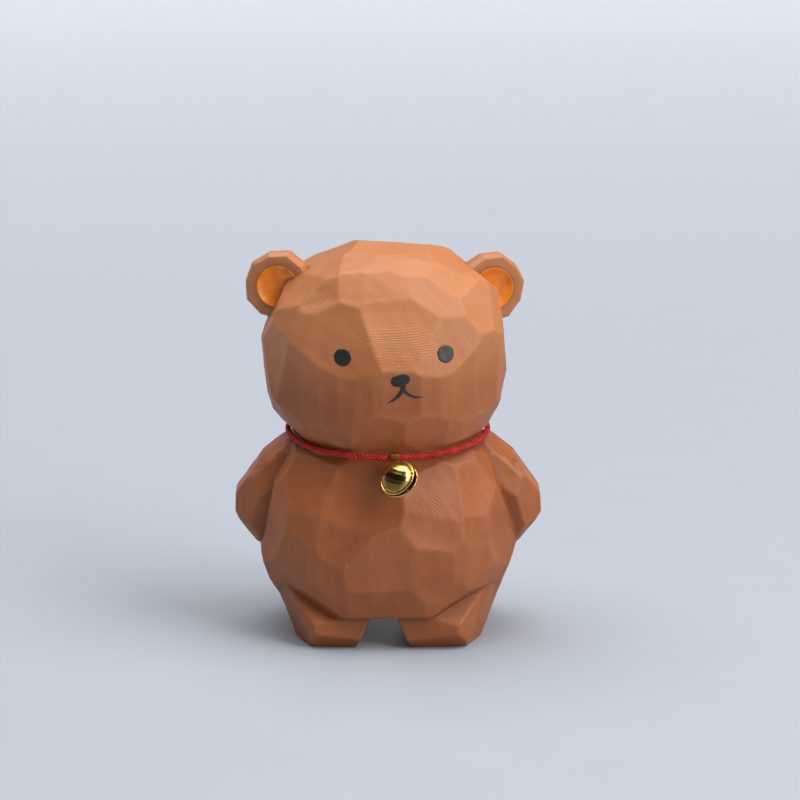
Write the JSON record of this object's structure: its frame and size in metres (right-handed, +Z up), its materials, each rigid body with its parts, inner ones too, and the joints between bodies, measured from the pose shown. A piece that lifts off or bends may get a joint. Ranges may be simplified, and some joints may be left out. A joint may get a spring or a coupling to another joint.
{
  "type": "carved wooden bear figurine",
  "caption": "Small knife-carved wooden bear, standing, with painted eyes, nose, mouth and inner ears, and a swinging brass jingle bell on a red neck cord.",
  "frame": {"origin": "on the floor, under the middle of the figurine's box", "axes": "+Z up, the bear faces -Y, and +X is to the right of someone facing it"},
  "size_m": [0.0652, 0.0568, 0.0834],
  "materials": {
    "brown_wood": "stained and left matt",
    "orange_paint": "satin acrylic paint",
    "black_paint": "satin acrylic paint",
    "red_cord": "round braid",
    "brass": "polished",
    "steel": "plain"
  },
  "bodies": {
    "figure": {"carved_body": "brown_wood", "ear_left": "brown_wood", "ear_right": "brown_wood", "ear_paint_left": "orange_paint", "ear_paint_right": "orange_paint", "eye_paint_left": "black_paint", "eye_paint_right": "black_paint", "nose_paint": "black_paint", "mouth_paint": "black_paint"},
    "collar": {"neck_cord": "red_cord"},
    "bell": {"bell_eye": "brass", "bell_front_shell": "brass", "bell_rear_shell": "brass"},
    "clapper": {"bell_clapper": "steel"}
  },
  "joints": [
    {"name": "collar_turn", "type": "hinge", "parent": "figure", "child": "collar", "pos_m": [0, 0, 0.0437], "axis": [0, -0.0906, 0.9959], "range_deg": [-14, 14]},
    {"name": "bell_swing", "type": "hinge", "parent": "collar", "child": "bell", "pos_m": [0.00149, -0.02116, 0.04177], "axis": [-0.9976, -0.0695, -0.0063], "range_deg": [0, 75]},
    {"name": "clapper_rattle", "type": "slide", "parent": "bell", "child": "clapper", "axis": [-0.1589, 0.7158, 0.68], "range_m": [0, 0.003]}
  ]
}
